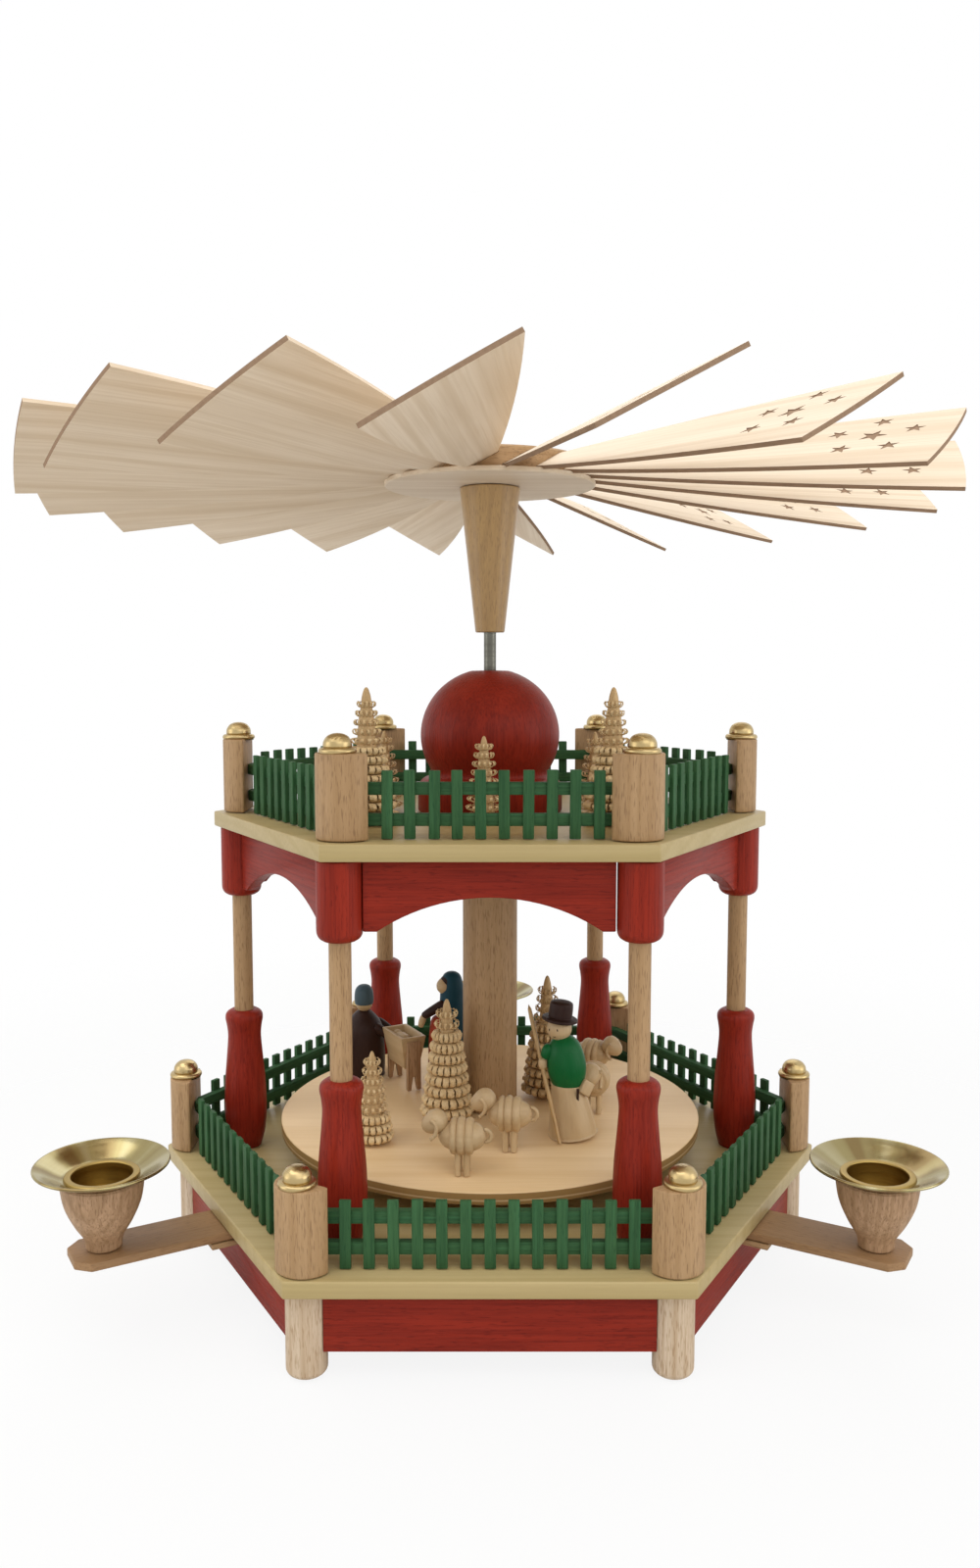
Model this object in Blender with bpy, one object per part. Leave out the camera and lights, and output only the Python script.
"""Candle carousel: a two-storey hexagonal stand, three pull-out candle arms and a wing-driven rotor.

Metres, +Z up. The origin lies on the floor, on the shaft's axis. Side 1 of each hexagon faces +30 degrees.
"""
import math

import bmesh
import bpy
from mathutils import Matrix, Vector

SIDES = 6
HALF_SIDE = math.pi / SIDES
ARM_ANGLES = tuple(math.radians(a) for a in (210, 330, 90))

# Clearances between pieces
FIT_GAP = 0.0003
RUNNING_GAP = 0.0015
OVERRUN = 0.002
WELD = 0.00001
SHARP_ANGLE = math.radians(35)

# Facets of round pieces
LARGE_FACETS = 32
ROUND_FACETS = 16
SMALL_FACETS = 12
TREE_FACETS = 10
STAFF_FACETS = 6
CAP_FACETS = 10
BALL_FACETS = 20
BALL_ROWS = 8
FLANGE_ROWS = 2
CAP_ROWS = 3

# Boards, measured over their corners
BOARD_THICKNESS = 0.0049
BASE_BOARD_RADIUS = 0.1100
UPPER_BOARD_RADIUS = 0.0919
UPPER_BOARD_BORE = 0.0040

# Feet and skirt
FOOT_HEIGHT = 0.0245
FOOT_RADIUS = 0.00575
FOOT_ROUNDING = 0.0015
FOOT_CIRCLE = 0.1000
SKIRT_APOTHEM = 0.0900
SKIRT_WALL = 0.0050
SKIRT_HEIGHT = 0.0171
SKIRT_BLOCK_REACH = 0.0905

# Turned columns
COLUMN_CIRCLE = 0.0831
COLUMN_HEIGHT = 0.1090
LEG_HEIGHT = 0.0470
LEG_RADIUS = 0.0070
LEG_SHARES = ((0, .72), (.10, .90), (.26, 1), (.46, .97), (.62, .88), (.80, .77), (.93, .88), (1, .86))
DOWEL_RADIUS = 0.00315
CAPITAL_HEIGHT = 0.0226
CAPITAL_RADIUS = 0.0065
CAPITAL_CHAMFER = 0.0019

# Arch boards under the upper board
ARCH_END_HEIGHT = 0.0202
ARCH_MIDDLE_HEIGHT = 0.0107
ARCH_THICKNESS = 0.0040
ARCH_STEPS = 10

# Half-round posts with brass caps
POST_RADIUS = 0.0081
POST_HEIGHT = 0.0238
LOWER_POST_CIRCLE = 0.1002
UPPER_POST_CIRCLE = 0.0802
CAP_OFFSET = 0.0030
CAP_FLANGE_RADIUS = 0.00525
CAP_FLANGE_HEIGHT = 0.0024
CAP_DOME_RADIUS = 0.0038
CAP_DOME_HEIGHT = 0.0036
CAP_SEAT = 0.0005

# Picket fences
PICKET_WIDTH = 0.0031
PICKET_THICKNESS = 0.0015
PICKET_PITCH = 0.0065
PICKET_HEIGHT = 0.0192
FENCE_INSET = 0.0046
RAIL_HEIGHT = 0.0035
RAIL_THICKNESS = 0.0028
RAIL_SEAT = 0.0004
RAIL_HEIGHT_SHARES = (.18, .63)
LOWER_PICKETS = 13
UPPER_PICKETS = 10

# Candle arms, cups and sockets
ARM_WIDTH = 0.0180
ARM_THICKNESS = 0.0025
ARM_REACH = 0.1385
ARM_INNER_END = 0.0500
ARM_CHAMFER = 0.0040
GUIDE_REACH = 0.1000
GUIDE_INNER_END = 0.0460
GUIDE_WALL = 0.0030
GUIDE_FLOOR = 0.0016
CUP_INSET = 0.0095
CUP_HEIGHT = 0.0206
CUP_RADIUS = 0.0119
CUP_SHARES = ((0, .41), (.16, .47), (.38, .70), (.66, .91), (1, 1))
CUP_BORE_RADIUS = 0.0098
CUP_BORE_DEPTH = 0.0070
CANDLE_RADIUS = 0.0086
SOCKET_WALL = 0.0006
SOCKET_DEPTH = 0.0070
RING_RADIUS = 0.0108
RING_HEIGHT = 0.0011
PAN_RADIUS = 0.0198
PAN_RISE = 0.0036
PAN_SHEET = 0.0008

# Bearing
BLOCK_RADIUS = 0.0100
BLOCK_HEIGHT = 0.0045
GLASS_RADIUS = 0.0035
GLASS_HEIGHT = 0.0032
GLASS_DIMPLE_RADIUS = 0.0022
GLASS_DIMPLE_DEPTH = 0.0016

# Ball over the upper board
BALL_RADIUS = 0.0229
BALL_FLANGE_RADIUS = 0.0239
BALL_FLANGE_HEIGHT = 0.0115
BALL_NECK_RADIUS = 0.0197
BALL_NECK_HEIGHT = 0.0140
BALL_TOP_HEIGHT = 0.0457
BALL_TOP_RADIUS = 0.0077
BALL_BORE = 0.0026

# Rotor
SHAFT_RADIUS = 0.0020
SHAFT_POINT = 0.0040
TURNTABLE_RADIUS = 0.0700
TURNTABLE_TOP = 0.0134
TURNTABLE_THICKNESS = 0.0037
BOSS_RADIUS = 0.0120
BOSS_HEIGHT = 0.0035
COLUMN_SLEEVE_RADIUS = 0.0091
HUB_CONE_BOTTOM = 0.0590
HUB_CONE_HEIGHT = 0.0465
HUB_CONE_TOP_RADIUS = 0.0098
HUB_CONE_FOOT_RADIUS = 0.0048
HUB_DISC_RADIUS = 0.0342
HUB_DISC_THICKNESS = 0.0016
HUB_BODY_RADIUS = 0.0310
HUB_BODY_HEIGHT = 0.0068

# Wings
WING_COUNT = 18
WING_RADIUS = 0.1448
WING_ROOT = 0.0260
WING_ROOT_HALF_WIDTH = 0.0040
WING_TIP_HALF_WIDTH = 0.0200
WING_EDGE_BULGE = 0.0018
WING_SHEET = 0.0015
WING_PITCH = math.radians(28.5)
WING_REST_ANGLE = math.radians(5.8)
WING_DROOP = math.radians(1.4)
WING_EDGE_STEPS = 4
WING_TIP_STEPS = 4

# Ring trees
TREE_STEM_SHARE = .10
TREE_FOOT_SHARE = .45
TREE_FOOT_HEIGHT_SHARE = .04
TREE_CURL_SHARE = .62
TREE_TOP_SHARE = .30
LARGE_TREE_HEIGHT = 0.0413
LARGE_TREE_RADIUS = 0.0085
LARGE_TREE_TIERS = 6
SMALL_TREE_HEIGHT = 0.0265
SMALL_TREE_RADIUS = 0.0058
SMALL_TREE_TIERS = 4
STAGE_TREE_HEIGHT = 0.0400
STAGE_TREE_RADIUS = 0.0080
STAGE_TREE_TIERS = 6
YOUNG_TREE_HEIGHT = 0.0290
YOUNG_TREE_RADIUS = 0.0060
YOUNG_TREE_TIERS = 5
LARGE_TREE = (LARGE_TREE_HEIGHT, LARGE_TREE_RADIUS, LARGE_TREE_TIERS)
SMALL_TREE = (SMALL_TREE_HEIGHT, SMALL_TREE_RADIUS, SMALL_TREE_TIERS)
STAGE_TREE = (STAGE_TREE_HEIGHT, STAGE_TREE_RADIUS, STAGE_TREE_TIERS)
YOUNG_TREE = (YOUNG_TREE_HEIGHT, YOUNG_TREE_RADIUS, YOUNG_TREE_TIERS)
LARGE_TREE_CIRCLE = 0.0525
SMALL_TREE_CIRCLE = 0.0350
UPPER_TREES = ((LARGE_TREE, LARGE_TREE_CIRCLE, 225), (LARGE_TREE, LARGE_TREE_CIRCLE, 315),
               (SMALL_TREE, SMALL_TREE_CIRCLE, 180), (SMALL_TREE, SMALL_TREE_CIRCLE, 267),
               (SMALL_TREE, SMALL_TREE_CIRCLE, 347))

# Figures on the turntable, each placed by shares of its radius
FIGURE_BASE_HEIGHT = 0.0014
STAGE_TREE_PLACE_SHARES = (-.203, -.160)
YOUNG_TREE_PLACE_SHARES = (-.527, -.457)
SHEPHERD_PLACE_SHARES = (.386, -.380)
SHEPHERD_HEIGHT = 0.0445
SHEPHERD_RADIUS = 0.0070
SHEPHERD_LEAN = math.radians(6)
SHEPHERD_SHARES = ((0, .98), (.10, .93), (.22, .80), (.35, .60), (.42, .73), (.50, .77), (.60, .72),
                   (.68, .60), (.72, .42), (.75, .54), (.81, .52), (.82, .77), (.85, .77), (.86, .50),
                   (.98, .46))
STAFF_RADIUS = 0.0008
STAFF_HEIGHT = 0.0440
STAFF_LEAN = math.radians(13)
STAFF_TILT = math.radians(18)
STAFF_OFFSET_SHARES = (-.76, -1.30)
HAND_OFFSET_SHARE = 1.04
ARM_SPHERE_SHARE = .42
ARM_SPHERE_SHARES = (2, 1, 1)
ARM_HEIGHT_SHARE = .52
ROBED_MAN_PLACE_SHARES = (-.657, .471)
ROBED_MAN_HEIGHT = 0.0335
ROBED_MAN_RADIUS = 0.0075
ROBED_MAN_SHARES = ((0, .96), (.10, 1), (.25, 1), (.46, .94), (.56, .85), (.66, .55), (.72, .30),
                    (.78, .32), (.80, .44), (.87, .46), (.95, .38))
VEILED_WOMAN_PLACE_SHARES = (-.214, .300)
VEILED_WOMAN_HEIGHT = 0.0400
VEILED_WOMAN_RADIUS = 0.0058
VEILED_WOMAN_SHARES = ((0, 1), (.08, 1), (.30, .82), (.52, .72), (.66, .68), (.80, .66), (.90, .56),
                       (.97, .34))
CRIB_PLACE_SHARES = (-.440, .326)
CRIB_TURN = math.radians(-62)
CRIB_LENGTH = 0.0160
CRIB_WIDTH = 0.0090
CRIB_HEIGHT = 0.0190
CRIB_LEG_SHARE = .40
CRIB_LEG_THICKNESS = 0.0018
CRIB_WALL = 0.0012
CRIB_HOLLOW_SHARE = .30
CHILD_RADIUS = 0.0018
CHILD_SHARES = (2, 1, 1)
SHEEP_LENGTH = 0.0150
SHEEP_BODY_SHARES = (.43, .26, .32)
SHEEP_BODY_HEIGHT_SHARE = .69
SHEEP_HEAD_SHARES = (.20, .15, .19)
SHEEP_HEAD_PLACE_SHARES = (-.51, .93)
SHEEP_LEG_SHARE = .050
SHEEP_LEG_PLACE_SHARES = (.11, .13)
SHEEP_PLACE_SHARES = ((-.117, -.809), (.086, -.550), (.494, -.086))
SHEEP_SIZE_SHARES = (1, 1.06, 1.06)
SHEEP_TURNS = tuple(math.radians(a) for a in (-20, -10, 78))

BASE_BOTTOM = FOOT_HEIGHT + FIT_GAP
BASE_TOP = BASE_BOTTOM + BOARD_THICKNESS
COLUMN_FOOT = BASE_TOP + FIT_GAP
UPPER_BOTTOM = COLUMN_FOOT + COLUMN_HEIGHT + FIT_GAP
UPPER_TOP = UPPER_BOTTOM + BOARD_THICKNESS
STAGE_TOP = BASE_TOP + TURNTABLE_TOP
STAGE_SEAT = STAGE_TOP + FIT_GAP
ARM_TOP = BASE_BOTTOM - FIT_GAP
CUP_CIRCLE = ARM_REACH - CUP_INSET
GUIDE_HALF = ARM_WIDTH / 2 + FIT_GAP
SHAFT_BORE = SHAFT_RADIUS + FIT_GAP
WHEEL_BOTTOM = UPPER_TOP + HUB_CONE_BOTTOM + HUB_CONE_HEIGHT + FIT_GAP
WHEEL_TOP = WHEEL_BOTTOM + HUB_DISC_THICKNESS + HUB_BODY_HEIGHT


def clear_scene():
    for obj in list(bpy.data.objects):
        bpy.data.objects.remove(obj, do_unlink=True)


def material(name, colour, roughness, metallic=0.0, transmission=0.0):
    """One Principled material; the colour is linear."""
    made = bpy.data.materials.new(name)
    made.use_nodes = True
    shader = made.node_tree.nodes["Principled BSDF"]
    shader.inputs["Base Color"].default_value = (*colour, 1)
    shader.inputs["Roughness"].default_value = roughness
    shader.inputs["Metallic"].default_value = metallic
    shader.inputs["Transmission Weight"].default_value = transmission
    made.diffuse_color = (*colour, 1)
    return made


def empty(name, location=(0, 0, 0), turn=0.0):
    frame = bpy.data.objects.new(name, None)
    frame.location = location
    frame.rotation_euler.z = turn
    bpy.context.collection.objects.link(frame)
    return frame


def finish_mesh(bm, name):
    bmesh.ops.remove_doubles(bm, verts=bm.verts, dist=WELD)
    bmesh.ops.recalc_face_normals(bm, faces=bm.faces)
    mesh = bpy.data.meshes.new(name)
    bm.to_mesh(mesh)
    bm.free()
    mesh.shade_smooth()
    mesh.set_sharp_from_angle(angle=SHARP_ANGLE)
    return mesh


def piece(name, mesh, finish, parent, place=(0, 0, 0), turn=0.0):
    """A visible part, placed in its parent's frame."""
    obj = bpy.data.objects.new(name, mesh)
    bpy.context.collection.objects.link(obj)
    if not mesh.materials:
        mesh.materials.append(finish)
    obj.parent = parent
    obj.location = place
    obj.rotation_euler.z = turn
    return obj


def tool(name, mesh, parent, place=(0, 0, 0), turn=0.0):
    """A shape that only a Boolean uses."""
    obj = bpy.data.objects.new(name, mesh)
    bpy.context.collection.objects.link(obj)
    obj.parent = parent
    obj.location = place
    obj.rotation_euler.z = turn
    obj.hide_render = True
    obj.display_type = "WIRE"
    return obj


def boolean(obj, other, operation):
    step = obj.modifiers.new(other.name, "BOOLEAN")
    step.operation = operation
    step.solver = "EXACT"
    step.object = other


def revolve(bm, profile, segments, closed=False):
    """Spin (radius, height) points about Z."""
    verts = [bm.verts.new((radius, 0, height)) for radius, height in profile]
    edges = [bm.edges.new(pair) for pair in zip(verts, verts[1:])]
    if closed:
        edges.append(bm.edges.new((verts[-1], verts[0])))
    bmesh.ops.spin(bm, geom=verts + edges, cent=(0, 0, 0), axis=(0, 0, 1), steps=segments, angle=math.tau,
                   use_merge=True)


def turned(name, profile, segments, closed=False):
    bm = bmesh.new()
    revolve(bm, profile, segments, closed)
    return finish_mesh(bm, name)


def tube_profile(outer, inner, bottom, top):
    return [(outer, top), (outer, bottom), (inner, bottom), (inner, top)]


def disc_profile(radius, bottom, top):
    return [(0, top), (radius, top), (radius, bottom), (0, bottom)]


def shaped(shares, height, radius, bottom=0.0):
    """Profile points from (height share, radius share), foot first, closed on the axis."""
    points = [(radius * across, bottom + height * up) for up, across in shares]
    return [(0, bottom), *points, (0, bottom + height)]


def extrude(bm, outline, bottom, top):
    """Raise a closed outline of (x, y) points into a prism."""
    face = bm.faces.new([bm.verts.new((x, y, bottom)) for x, y in outline])
    raised = bmesh.ops.extrude_face_region(bm, geom=[face])["geom"]
    bmesh.ops.translate(bm, verts=[v for v in raised if isinstance(v, bmesh.types.BMVert)],
                        vec=(0, 0, top - bottom))


def prism(name, outline, bottom, top):
    bm = bmesh.new()
    extrude(bm, outline, bottom, top)
    return finish_mesh(bm, name)


def hexagon(apothem):
    radius = apothem / math.cos(HALF_SIDE)
    return [(radius * math.cos(a), radius * math.sin(a)) for a in (HALF_SIDE * 2 * i for i in range(SIDES))]


def trimmed_hexagon(apothem, corner_reach):
    """A hexagon whose corners are cut square to the corner lines at corner_reach."""
    points = []
    half = (apothem - corner_reach * math.cos(HALF_SIDE)) / math.sin(HALF_SIDE)
    for i in range(SIDES):
        out = Vector((math.cos(HALF_SIDE * 2 * i), math.sin(HALF_SIDE * 2 * i)))
        across = Vector((-out.y, out.x))
        points += [out * corner_reach - across * half, out * corner_reach + across * half]
    return [tuple(p) for p in points]


def rectangle(x0, x1, y0, y1):
    return [(x0, y0), (x1, y0), (x1, y1), (x0, y1)]


def corner_place(i, circle, height):
    angle = HALF_SIDE * 2 * i
    return (circle * math.cos(angle), circle * math.sin(angle), height), angle


def base_board(finish, stand):
    """Board with three guides below it: walls behind the skirt, and a floor strip below each arm."""
    board = piece("base_board", prism("base_board", hexagon(BASE_BOARD_RADIUS * math.cos(HALF_SIDE)),
                                      BASE_BOTTOM, BASE_TOP), finish, stand)
    floor_top = BASE_BOTTOM - ARM_THICKNESS - 2 * FIT_GAP
    floor = floor_top - GUIDE_FLOOR
    block = prism("guide_block", rectangle(GUIDE_INNER_END, SKIRT_APOTHEM - SKIRT_WALL - FIT_GAP,
                                           -GUIDE_HALF - GUIDE_WALL, GUIDE_HALF + GUIDE_WALL),
                  floor, BASE_BOTTOM + BOARD_THICKNESS / 2)
    slot = prism("guide_slot", rectangle(GUIDE_INNER_END - OVERRUN, GUIDE_REACH, -GUIDE_HALF, GUIDE_HALF),
                 floor_top, BASE_BOTTOM)
    strip = prism("guide_strip", rectangle(GUIDE_INNER_END + GUIDE_WALL, GUIDE_REACH,
                                           -GUIDE_HALF, GUIDE_HALF), floor, floor_top)
    for i, angle in enumerate(ARM_ANGLES, 1):
        boolean(board, tool(f"guide_block_{i}", block, stand, turn=angle), "UNION")
        boolean(board, tool(f"guide_slot_{i}", slot, stand, turn=angle), "DIFFERENCE")
        boolean(board, tool(f"guide_strip_{i}", strip, stand, turn=angle), "UNION")


def skirt(finish, stand):
    """Six mitred boards, with corner blocks behind the feet and notches for the guides."""
    top = BASE_BOTTOM - FIT_GAP
    bottom = top - SKIRT_HEIGHT
    ring = piece("skirt", prism("skirt", hexagon(SKIRT_APOTHEM), bottom, top), finish, stand)
    hollow = prism("skirt_hollow", trimmed_hexagon(SKIRT_APOTHEM - SKIRT_WALL, SKIRT_BLOCK_REACH),
                   bottom - OVERRUN, top + OVERRUN)
    boolean(ring, tool("skirt_hollow", hollow, stand), "DIFFERENCE")
    foot_hole = turned("foot_hole", disc_profile(FOOT_RADIUS + FIT_GAP, bottom - OVERRUN, top + OVERRUN),
                       ROUND_FACETS)
    for i in range(SIDES):
        place, angle = corner_place(i, FOOT_CIRCLE, 0)
        boolean(ring, tool(f"foot_hole_{i + 1}", foot_hole, stand, place, angle), "DIFFERENCE")
    half = GUIDE_HALF + FIT_GAP
    depth = ARM_THICKNESS + GUIDE_FLOOR + 2 * FIT_GAP
    notch = prism("skirt_notch", rectangle(SKIRT_APOTHEM - SKIRT_WALL - OVERRUN, SKIRT_APOTHEM + OVERRUN,
                                           -half, half), top - depth, top + OVERRUN)
    for i, angle in enumerate(ARM_ANGLES, 1):
        boolean(ring, tool(f"skirt_notch_{i}", notch, stand, turn=angle), "DIFFERENCE")


def feet(finish, stand):
    round_off = FOOT_ROUNDING * math.sin(math.pi / 4)
    mesh = turned("foot", [(0, FOOT_HEIGHT), (FOOT_RADIUS, FOOT_HEIGHT), (FOOT_RADIUS, FOOT_ROUNDING),
                           (FOOT_RADIUS - FOOT_ROUNDING + round_off, FOOT_ROUNDING - round_off),
                           (FOOT_RADIUS - FOOT_ROUNDING, 0), (0, 0)], ROUND_FACETS)
    for i in range(SIDES):
        place, angle = corner_place(i, FOOT_CIRCLE, 0)
        piece(f"foot_{i + 1}", mesh, finish, stand, place, angle)


def columns(finish, stand):
    """Red leg, bare dowel and red capital, turned as one."""
    capital_foot = COLUMN_HEIGHT - CAPITAL_HEIGHT
    leg = [(LEG_RADIUS * across, LEG_HEIGHT * up) for up, across in LEG_SHARES]
    profile = [(0, 0), *leg, (DOWEL_RADIUS, LEG_HEIGHT), (DOWEL_RADIUS, capital_foot),
               (CAPITAL_RADIUS - CAPITAL_CHAMFER, capital_foot),
               (CAPITAL_RADIUS, capital_foot + CAPITAL_CHAMFER),
               (CAPITAL_RADIUS, COLUMN_HEIGHT), (0, COLUMN_HEIGHT)]
    mesh = turned("column", profile, SMALL_FACETS)
    for i in range(SIDES):
        place, angle = corner_place(i, COLUMN_CIRCLE, COLUMN_FOOT)
        piece(f"column_{i + 1}", mesh, finish, stand, place, angle)


def upper_board(finish, stand):
    """Board with the six arch boards glued below it, between the capitals."""
    bore = turned("shaft_hole", disc_profile(UPPER_BOARD_BORE, UPPER_BOTTOM - OVERRUN, UPPER_TOP + OVERRUN),
                  SMALL_FACETS)
    board = piece("upper_board", prism("upper_board", hexagon(UPPER_BOARD_RADIUS * math.cos(HALF_SIDE)),
                                       UPPER_BOTTOM, UPPER_TOP), finish, stand)
    apothem = COLUMN_CIRCLE * math.cos(HALF_SIDE)
    half = COLUMN_CIRCLE * math.sin(HALF_SIDE) - CAPITAL_RADIUS - FIT_GAP
    drop = ARCH_END_HEIGHT - ARCH_MIDDLE_HEIGHT
    arch_radius = (half * half + drop * drop) / (2 * drop)
    sweep = math.asin(half / arch_radius)
    outline = [(half, BOARD_THICKNESS / 2), (-half, BOARD_THICKNESS / 2)]
    for step in range(ARCH_STEPS + 1):
        angle = sweep * (2 * step / ARCH_STEPS - 1)
        outline.append((arch_radius * math.sin(angle),
                        arch_radius * (math.cos(angle) - 1) - ARCH_MIDDLE_HEIGHT))
    arch = prism("arch_board", outline, -ARCH_THICKNESS / 2, ARCH_THICKNESS / 2)
    arch.transform(Matrix.Rotation(math.pi / 2, 4, "Z") @ Matrix.Rotation(math.pi / 2, 4, "X"))
    for i in range(SIDES):
        angle = HALF_SIDE * (2 * i + 1)
        place = (apothem * math.cos(angle), apothem * math.sin(angle), UPPER_BOTTOM)
        boolean(board, tool(f"arch_board_{i + 1}", arch, stand, place, angle), "UNION")
    boolean(board, tool("shaft_hole", bore, stand), "DIFFERENCE")


def posts(name, circle, board_top, finish, stand):
    """Half-round posts, flat side inwards, each with its brass cap."""
    steps = ROUND_FACETS // 2
    arc = [(POST_RADIUS * math.cos(a), POST_RADIUS * math.sin(a))
           for a in (math.pi * (i / steps - 1 / 2) for i in range(steps + 1))]
    mesh = prism(name, arc, 0, POST_HEIGHT)
    dome = [(CAP_DOME_RADIUS * math.cos(a), CAP_FLANGE_HEIGHT + CAP_DOME_HEIGHT * math.sin(a))
            for a in (math.pi / 2 * i / CAP_ROWS for i in range(CAP_ROWS))]
    cap = turned(f"{name}_cap", [(0, -CAP_SEAT), (CAP_FLANGE_RADIUS, -CAP_SEAT),
                                 (CAP_FLANGE_RADIUS, CAP_FLANGE_HEIGHT - CAP_SEAT),
                                 *dome, (0, CAP_FLANGE_HEIGHT + CAP_DOME_HEIGHT)], CAP_FACETS)
    for i in range(SIDES):
        place, angle = corner_place(i, circle, board_top + FIT_GAP)
        cap_place, _ = corner_place(i, circle + CAP_OFFSET, board_top + FIT_GAP + POST_HEIGHT)
        post = piece(f"{name}_{i + 1}", mesh, finish, stand, place, angle)
        boolean(post, tool(f"{name}_cap_{i + 1}", cap, stand, cap_place, angle), "UNION")


def fence(name, post_circle, board_top, count, finish, stand):
    """Two rails glued to the posts' flats, with pickets on their outer side."""
    foot = board_top + FIT_GAP
    corner_reach = post_circle - FIT_GAP
    flat_apothem = post_circle * math.cos(HALF_SIDE) + POST_RADIUS * math.sin(HALF_SIDE)
    rail_apothem = flat_apothem - FENCE_INSET + RAIL_THICKNESS / 2
    rails = bmesh.new()
    hollow = bmesh.new()
    for share in RAIL_HEIGHT_SHARES:
        low = foot + PICKET_HEIGHT * share
        extrude(rails, trimmed_hexagon(rail_apothem, corner_reach), low, low + RAIL_HEIGHT)
    extrude(hollow, hexagon(rail_apothem - RAIL_THICKNESS), foot, foot + PICKET_HEIGHT)
    ring = piece(name, finish_mesh(rails, name), finish, stand)
    boolean(ring, tool(f"{name}_hollow", finish_mesh(hollow, f"{name}_hollow"), stand), "DIFFERENCE")
    pickets = bmesh.new()
    for side in range(SIDES):
        turn = Matrix.Rotation(HALF_SIDE * (2 * side + 1), 4, "Z")
        start = len(pickets.verts)
        for i in range(count):
            middle = PICKET_PITCH * (i - (count - 1) / 2)
            inner = rail_apothem - RAIL_SEAT
            extrude(pickets, rectangle(inner, inner + PICKET_THICKNESS, middle - PICKET_WIDTH / 2,
                                       middle + PICKET_WIDTH / 2), foot, foot + PICKET_HEIGHT)
        pickets.verts.ensure_lookup_table()
        bmesh.ops.transform(pickets, matrix=turn, verts=pickets.verts[start:])
    boolean(ring, tool(f"{name}_pickets", finish_mesh(pickets, f"{name}_pickets"), stand), "UNION")


def bearing(wood, glass, stand):
    """Block on the base board with the glass cup that the shaft's point turns in."""
    foot = BASE_TOP + FIT_GAP
    recess = GLASS_RADIUS + FIT_GAP
    recess_floor = BLOCK_HEIGHT - GLASS_HEIGHT
    piece("bearing_block", turned("bearing_block", [
        (0, foot + recess_floor - FIT_GAP), (recess, foot + recess_floor - FIT_GAP),
        (recess, foot + BLOCK_HEIGHT), (BLOCK_RADIUS, foot + BLOCK_HEIGHT), (BLOCK_RADIUS, foot), (0, foot)],
        ROUND_FACETS), wood, stand)
    glass_foot = foot + recess_floor
    glass_top = glass_foot + GLASS_HEIGHT
    piece("glass_bearing", turned("glass_bearing", [
        (0, glass_top - GLASS_DIMPLE_DEPTH), (GLASS_DIMPLE_RADIUS, glass_top), (GLASS_RADIUS, glass_top),
        (GLASS_RADIUS, glass_foot), (0, glass_foot)], ROUND_FACETS), glass, stand)
    return glass_top - GLASS_DIMPLE_DEPTH + FIT_GAP


def bearing_ball(finish, stand):
    """Turned ball on a flange, bored for the shaft."""
    foot = UPPER_TOP + FIT_GAP
    flange = [(BALL_BORE, foot), (BALL_FLANGE_RADIUS - FIT_GAP, foot)]
    rounding = BALL_FLANGE_RADIUS - BALL_NECK_RADIUS
    for i in range(FLANGE_ROWS + 1):
        angle = math.pi / 2 * i / FLANGE_ROWS
        flange.append((BALL_NECK_RADIUS + rounding * math.cos(angle),
                       foot + BALL_FLANGE_HEIGHT - rounding * (1 - math.sin(angle))))
    low = -math.acos(BALL_NECK_RADIUS / BALL_RADIUS)
    high = math.acos(BALL_TOP_RADIUS / BALL_RADIUS)
    neck_top = foot + BALL_NECK_HEIGHT
    stretch = (foot + BALL_TOP_HEIGHT - neck_top) / (BALL_RADIUS * (math.sin(high) - math.sin(low)))
    rows = []
    for i in range(BALL_ROWS + 1):
        angle = low + (high - low) * i / BALL_ROWS
        rows.append((BALL_RADIUS * math.cos(angle),
                     neck_top + stretch * BALL_RADIUS * (math.sin(angle) - math.sin(low))))
    profile = flange + rows + [(BALL_BORE, foot + BALL_TOP_HEIGHT)]
    piece("bearing_ball", turned("bearing_ball", profile, BALL_FACETS, closed=True), finish, stand)


def ring_tree(name, size, finish, parent, place):
    """Shaved tree: tiers that hang outwards round a stem, on a small foot."""
    height, radius, tiers = size
    stem = radius * TREE_STEM_SHARE * 2
    foot = height * TREE_FOOT_HEIGHT_SHARE
    first = height * TREE_CURL_SHARE / tiers
    profile = [(0, 0), (radius * TREE_FOOT_SHARE, 0), (radius * TREE_FOOT_SHARE, foot), (stem, foot)]
    crown = height - first
    for i in range(tiers):
        reach = radius * (1 - (1 - TREE_TOP_SHARE) * i / tiers)
        rim = first + crown * i / tiers
        profile += [(stem, rim), (reach, rim)]
    profile.append((0, height))
    piece(name, turned(name, profile, TREE_FACETS), finish, parent, place)


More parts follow.
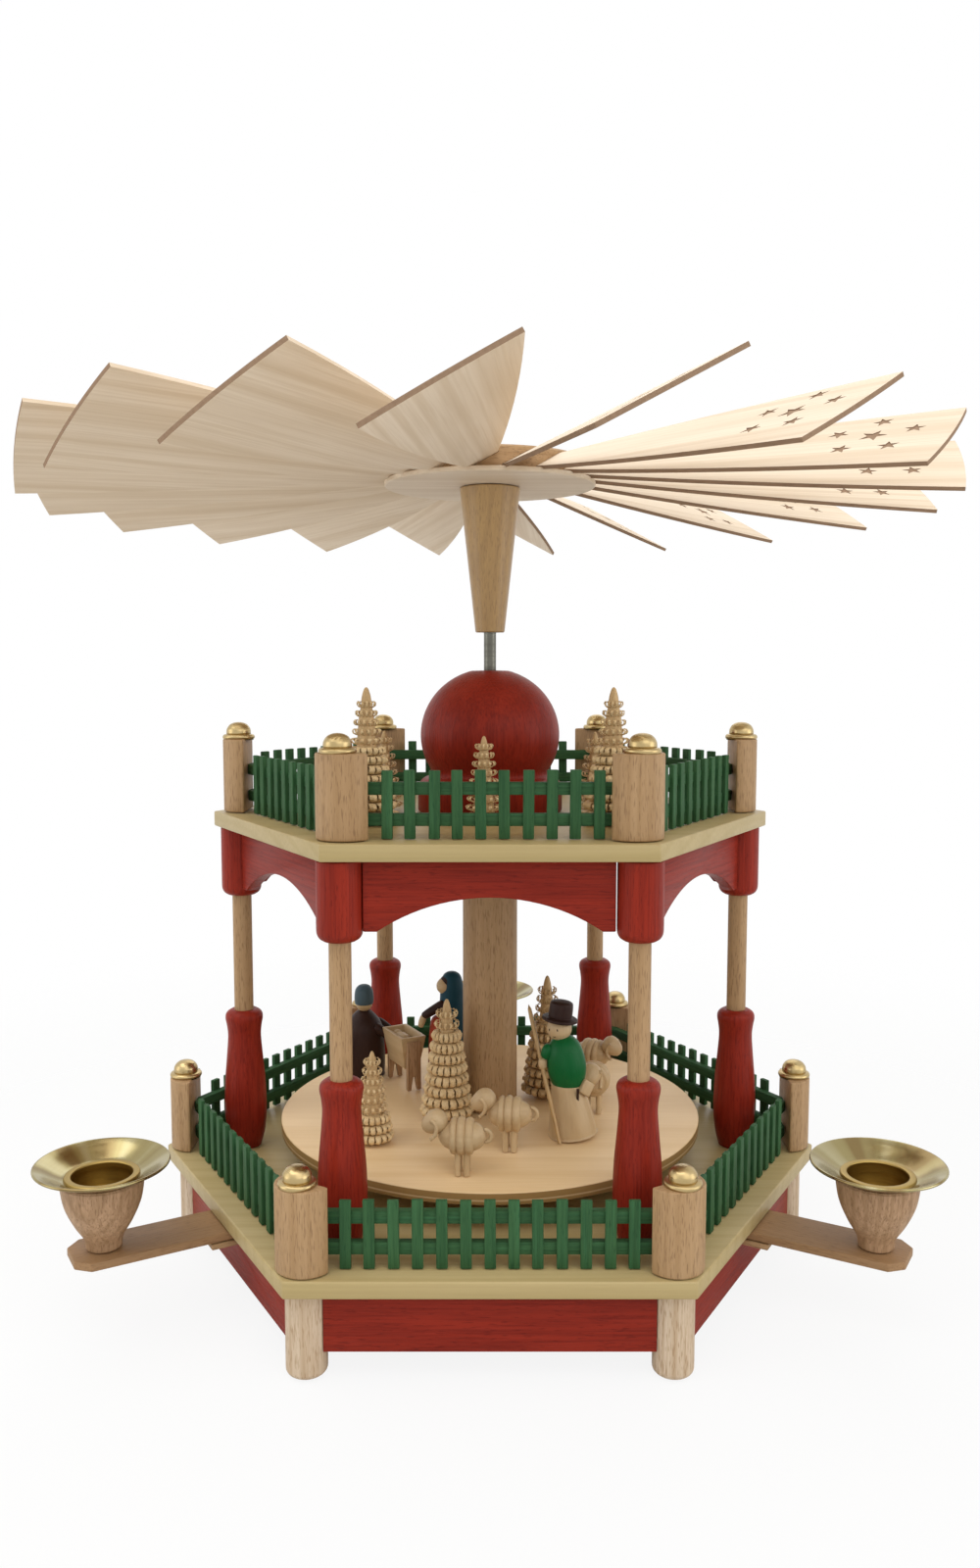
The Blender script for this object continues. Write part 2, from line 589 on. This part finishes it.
def candle_arm(i, angle, finishes, parent):
    """Flat arm, wooden cup and brass socket; the whole slides out along X of its frame."""
    wood, brass = finishes
    half = ARM_WIDTH / 2
    outline = [(ARM_INNER_END, -half), (ARM_REACH - ARM_CHAMFER, -half), (ARM_REACH, -half + ARM_CHAMFER),
               (ARM_REACH, half - ARM_CHAMFER), (ARM_REACH - ARM_CHAMFER, half), (ARM_INNER_END, half)]
    frame = empty(f"arm_slide_{i}", turn=angle)
    frame.parent = parent
    piece(f"candle_arm_{i}", prism(f"candle_arm_{i}", outline, ARM_TOP - ARM_THICKNESS, ARM_TOP), wood, frame)
    cup_foot = ARM_TOP + FIT_GAP
    rim = cup_foot + CUP_HEIGHT
    body = [(CUP_RADIUS * across, cup_foot + CUP_HEIGHT * up) for up, across in CUP_SHARES]
    cup = [(0, cup_foot), *body, (CUP_BORE_RADIUS, rim), (CUP_BORE_RADIUS, rim - CUP_BORE_DEPTH),
           (0, rim - CUP_BORE_DEPTH)]
    piece(f"candle_cup_{i}", turned(f"candle_cup_{i}", cup, SMALL_FACETS), wood, frame, (CUP_CIRCLE, 0, 0))
    seat = rim + FIT_GAP
    outer = CANDLE_RADIUS + SOCKET_WALL
    floor = seat - SOCKET_DEPTH
    socket = [(0, floor + SOCKET_WALL), (CANDLE_RADIUS, floor + SOCKET_WALL),
              (CANDLE_RADIUS, seat + RING_HEIGHT), (RING_RADIUS, seat + RING_HEIGHT),
              (RING_RADIUS + PAN_SHEET, seat + PAN_SHEET),
              (PAN_RADIUS - PAN_SHEET, seat + PAN_RISE), (PAN_RADIUS, seat + PAN_RISE - PAN_SHEET),
              (CUP_RADIUS + PAN_SHEET, seat), (outer, seat), (outer, floor), (0, floor)]
    mesh = turned(f"candle_socket_{i}", socket, ROUND_FACETS)
    piece(f"candle_socket_{i}", mesh, brass, frame, (CUP_CIRCLE, 0, 0))


def shaft(tip, finish, rotor):
    profile = [(0, WHEEL_TOP), (SHAFT_RADIUS, WHEEL_TOP), (SHAFT_RADIUS, tip + SHAFT_POINT), (0, tip)]
    piece("shaft", turned("shaft", profile, SMALL_FACETS), finish, rotor)


def turntable(finish, rotor):
    under = STAGE_TOP - TURNTABLE_THICKNESS
    profile = [(SHAFT_BORE, STAGE_TOP), (TURNTABLE_RADIUS, STAGE_TOP), (TURNTABLE_RADIUS, under),
               (BOSS_RADIUS, under), (BOSS_RADIUS, under - BOSS_HEIGHT), (SHAFT_BORE, under - BOSS_HEIGHT)]
    piece("turntable", turned("turntable", profile, LARGE_FACETS, closed=True), finish, rotor)


def centre_column(finish, rotor):
    profile = tube_profile(COLUMN_SLEEVE_RADIUS, SHAFT_BORE, STAGE_SEAT, UPPER_BOTTOM - RUNNING_GAP)
    piece("centre_column", turned("centre_column", profile, ROUND_FACETS, closed=True), finish, rotor)


def wing_hub(finish, rotor):
    foot = UPPER_TOP + HUB_CONE_BOTTOM
    top = foot + HUB_CONE_HEIGHT
    profile = [(SHAFT_BORE, top), (HUB_CONE_TOP_RADIUS, top), (HUB_CONE_FOOT_RADIUS, foot),
               (SHAFT_BORE, foot)]
    piece("wing_hub", turned("wing_hub", profile, ROUND_FACETS, closed=True), finish, rotor)


def wing_outline():
    """One wing in its own plane: X outwards, Y across; the tip lies on the wheel's circle."""
    def tip(across):
        return math.sqrt(WING_RADIUS ** 2 - (across * math.cos(WING_PITCH)) ** 2)
    corner = tip(WING_TIP_HALF_WIDTH)
    side = []
    for i in range(WING_EDGE_STEPS + 1):
        s = i / WING_EDGE_STEPS
        across = (WING_ROOT_HALF_WIDTH + (WING_TIP_HALF_WIDTH - WING_ROOT_HALF_WIDTH) * s
                  + 4 * WING_EDGE_BULGE * s * (1 - s))
        side.append((WING_ROOT + (corner - WING_ROOT) * s, across))
    end = []
    for i in range(1, WING_TIP_STEPS):
        across = WING_TIP_HALF_WIDTH * (1 - 2 * i / WING_TIP_STEPS)
        end.append((tip(across), across))
    return side + end + [(x, -y) for x, y in reversed(side)]


def wing_wheel(finish, rotor):
    """Disc, slotted hub and wings as one wheel."""
    disc_top = WHEEL_BOTTOM + HUB_DISC_THICKNESS
    hub = [(SHAFT_BORE, WHEEL_TOP), (HUB_BODY_RADIUS, WHEEL_TOP), (HUB_BODY_RADIUS, disc_top),
           (HUB_DISC_RADIUS, disc_top), (HUB_DISC_RADIUS, WHEEL_BOTTOM), (SHAFT_BORE, WHEEL_BOTTOM)]
    wheel = piece("wing_wheel", turned("wing_wheel", hub, WING_COUNT * 2, closed=True), finish, rotor)
    middle = (disc_top + WHEEL_TOP) / 2
    wings = bmesh.new()
    outline = wing_outline()
    for i in range(WING_COUNT):
        start = len(wings.verts)
        extrude(wings, outline, -WING_SHEET / 2, WING_SHEET / 2)
        wings.verts.ensure_lookup_table()
        turn = Matrix.Rotation(WING_REST_ANGLE + math.tau * i / WING_COUNT, 4, "Z")
        slope = Matrix.Rotation(WING_DROOP, 4, "Y") @ Matrix.Rotation(WING_PITCH, 4, "X")
        place = Matrix.Translation((0, 0, middle)) @ turn @ slope
        bmesh.ops.transform(wings, matrix=place, verts=wings.verts[start:])
    boolean(wheel, tool("wings", finish_mesh(wings, "wings"), rotor), "UNION")


def ball(bm, radius, place, shares):
    """A sphere stretched by a share along each axis."""
    matrix = Matrix.Translation(place) @ Matrix.Diagonal((*shares, 1))
    bmesh.ops.create_icosphere(bm, subdivisions=2, radius=radius, matrix=matrix)


def stage_place(shares):
    return (TURNTABLE_RADIUS * shares[0], TURNTABLE_RADIUS * shares[1], STAGE_SEAT)


def shepherd(finish, rotor):
    """Leaning shepherd in a wide hat, with a staff."""
    place = stage_place(SHEPHERD_PLACE_SHARES)
    base = turned("shepherd_base", disc_profile(SHEPHERD_RADIUS, 0, FIGURE_BASE_HEIGHT), ROUND_FACETS)
    body = piece("shepherd", base, finish, rotor, place)
    figure = turned("shepherd_figure", shaped(SHEPHERD_SHARES, SHEPHERD_HEIGHT, SHEPHERD_RADIUS,
                                              FIGURE_BASE_HEIGHT / 2), SMALL_FACETS)
    leaning = tool("shepherd_figure", figure, rotor, place)
    leaning.rotation_euler.y = -SHEPHERD_LEAN
    boolean(body, leaning, "UNION")
    hands = bmesh.new()
    ball(hands, SHEPHERD_RADIUS * ARM_SPHERE_SHARE,
         (-SHEPHERD_RADIUS * HAND_OFFSET_SHARE, 0, SHEPHERD_HEIGHT * ARM_HEIGHT_SHARE), ARM_SPHERE_SHARES)
    hand = tool("shepherd_hands", finish_mesh(hands, "shepherd_hands"), rotor, place)
    hand.rotation_euler.y = -SHEPHERD_LEAN
    boolean(body, hand, "UNION")
    staff = turned("shepherd_staff", disc_profile(STAFF_RADIUS, 0, STAFF_HEIGHT), STAFF_FACETS)
    beside = (place[0] + SHEPHERD_RADIUS * STAFF_OFFSET_SHARES[0],
              place[1] + SHEPHERD_RADIUS * STAFF_OFFSET_SHARES[1], place[2] + STAFF_RADIUS / 2)
    staff_tool = tool("shepherd_staff", staff, rotor, beside)
    staff_tool.rotation_euler.x = -STAFF_TILT
    staff_tool.rotation_euler.y = -STAFF_LEAN
    boolean(body, staff_tool, "UNION")


def robed_figure(name, size, shares, place, finish, rotor):
    height, radius = size
    mesh = turned(name, shaped(shares, height, radius), ROUND_FACETS)
    piece(name, mesh, finish, rotor, place)


def crib(finish, rotor):
    """Manger on crossed legs with the child in it."""
    legs = CRIB_HEIGHT * CRIB_LEG_SHARE
    half_x, half_y = CRIB_LENGTH / 2, CRIB_WIDTH / 2
    place = stage_place(CRIB_PLACE_SHARES)
    outline = rectangle(-half_x, half_x, -half_y, half_y)
    box = piece("crib", prism("crib", outline, legs, CRIB_HEIGHT), finish, rotor, place, CRIB_TURN)
    floor = legs + (CRIB_HEIGHT - legs) * CRIB_HOLLOW_SHARE
    hollow = prism("crib_hollow", rectangle(-half_x + CRIB_WALL, half_x - CRIB_WALL, -half_y + CRIB_WALL,
                                            half_y - CRIB_WALL), floor, CRIB_HEIGHT + OVERRUN)
    boolean(box, tool("crib_hollow", hollow, rotor, place, CRIB_TURN), "DIFFERENCE")
    stand = bmesh.new()
    for end in (-1, 1):
        middle = end * (half_x - CRIB_LEG_THICKNESS)
        extrude(stand, rectangle(middle - CRIB_LEG_THICKNESS / 2, middle + CRIB_LEG_THICKNESS / 2,
                                 -half_y + CRIB_WALL / 2, half_y - CRIB_WALL / 2), 0, legs + CRIB_WALL / 2)
    boolean(box, tool("crib_legs", finish_mesh(stand, "crib_legs"), rotor, place, CRIB_TURN), "UNION")
    child = bmesh.new()
    ball(child, CHILD_RADIUS, (0, 0, floor + CHILD_RADIUS / 2), CHILD_SHARES)
    boolean(box, tool("crib_child", finish_mesh(child, "crib_child"), rotor, place, CRIB_TURN), "UNION")


def sheep(i, seat, angle, scale, finish, rotor):
    """Standing sheep that faces -X of its own frame."""
    length = SHEEP_LENGTH * scale
    height = length * SHEEP_BODY_HEIGHT_SHARE
    body = bmesh.new()
    ball(body, length, (0, 0, height), SHEEP_BODY_SHARES)
    name = f"sheep_{i}"
    animal = piece(name, finish_mesh(body, name), finish, rotor, seat, angle)
    head = bmesh.new()
    along, up = SHEEP_HEAD_PLACE_SHARES
    ball(head, length, (length * along, 0, length * up), SHEEP_HEAD_SHARES)
    boolean(animal, tool(f"{name}_head", finish_mesh(head, f"{name}_head"), rotor, seat, angle), "UNION")
    legs = bmesh.new()
    along, across = (length * share for share in SHEEP_LEG_PLACE_SHARES)
    leg = length * SHEEP_LEG_SHARE
    for x in (-along, along):
        for y in (-across, across):
            extrude(legs, rectangle(x - leg, x + leg, y - leg, y + leg), 0, height)
    boolean(animal, tool(f"{name}_legs", finish_mesh(legs, f"{name}_legs"), rotor, seat, angle), "UNION")


def build():
    clear_scene()
    beech = material("beech", (.54, .35, .20), .45)
    red = material("red_stained_wood", (.26, .025, .014), .35)
    green = material("green_stained_wood", (.028, .14, .06), .5)
    birch = material("birch_plywood", (.58, .43, .25), .5)
    lime = material("shaved_limewood", (.72, .53, .27), .6)
    brass = material("polished_brass", (.58, .45, .19), .2, metallic=1)
    steel = material("drawn_steel", (.30, .29, .26), .35, metallic=1)
    glass = material("bearing_glass", (.8, .86, .84), .05, transmission=1)
    stain = material("painted_wood", (.05, .14, .08), .5)
    fleece = material("fleece_wood", (.70, .60, .45), .8)

    stand = empty("stand")
    rotor = empty("rotor_axis")
    base_board(beech, stand)
    skirt(red, stand)
    feet(beech, stand)
    tip = bearing(beech, glass, stand)
    fence("lower_fence", LOWER_POST_CIRCLE, BASE_TOP, LOWER_PICKETS, green, stand)
    posts("lower_post", LOWER_POST_CIRCLE, BASE_TOP, beech, stand)
    columns(red, stand)
    upper_board(beech, stand)
    fence("upper_fence", UPPER_POST_CIRCLE, UPPER_TOP, UPPER_PICKETS, green, stand)
    posts("upper_post", UPPER_POST_CIRCLE, UPPER_TOP, beech, stand)
    bearing_ball(red, stand)
    for i, (size, circle, angle) in enumerate(UPPER_TREES, 1):
        turn = math.radians(angle)
        place = (circle * math.cos(turn), circle * math.sin(turn), UPPER_TOP + FIT_GAP)
        ring_tree(f"upper_tree_{i}", size, lime, stand, place)

    for i, angle in enumerate(ARM_ANGLES, 1):
        candle_arm(i, angle, (beech, brass), stand)

    shaft(tip, steel, rotor)
    turntable(birch, rotor)
    centre_column(beech, rotor)
    wing_hub(beech, rotor)
    wing_wheel(birch, rotor)
    shepherd(stain, rotor)
    robed_figure("robed_man", (ROBED_MAN_HEIGHT, ROBED_MAN_RADIUS), ROBED_MAN_SHARES,
                 stage_place(ROBED_MAN_PLACE_SHARES), stain, rotor)
    robed_figure("veiled_woman", (VEILED_WOMAN_HEIGHT, VEILED_WOMAN_RADIUS), VEILED_WOMAN_SHARES,
                 stage_place(VEILED_WOMAN_PLACE_SHARES), stain, rotor)
    crib(lime, rotor)
    for i, (shares, turn, scale) in enumerate(zip(SHEEP_PLACE_SHARES, SHEEP_TURNS, SHEEP_SIZE_SHARES), 1):
        sheep(i, stage_place(shares), turn, scale, fleece, rotor)
    ring_tree("stage_tree", STAGE_TREE, lime, rotor, stage_place(STAGE_TREE_PLACE_SHARES))
    ring_tree("young_tree", YOUNG_TREE, lime, rotor, stage_place(YOUNG_TREE_PLACE_SHARES))
    bpy.context.view_layer.update()


build()
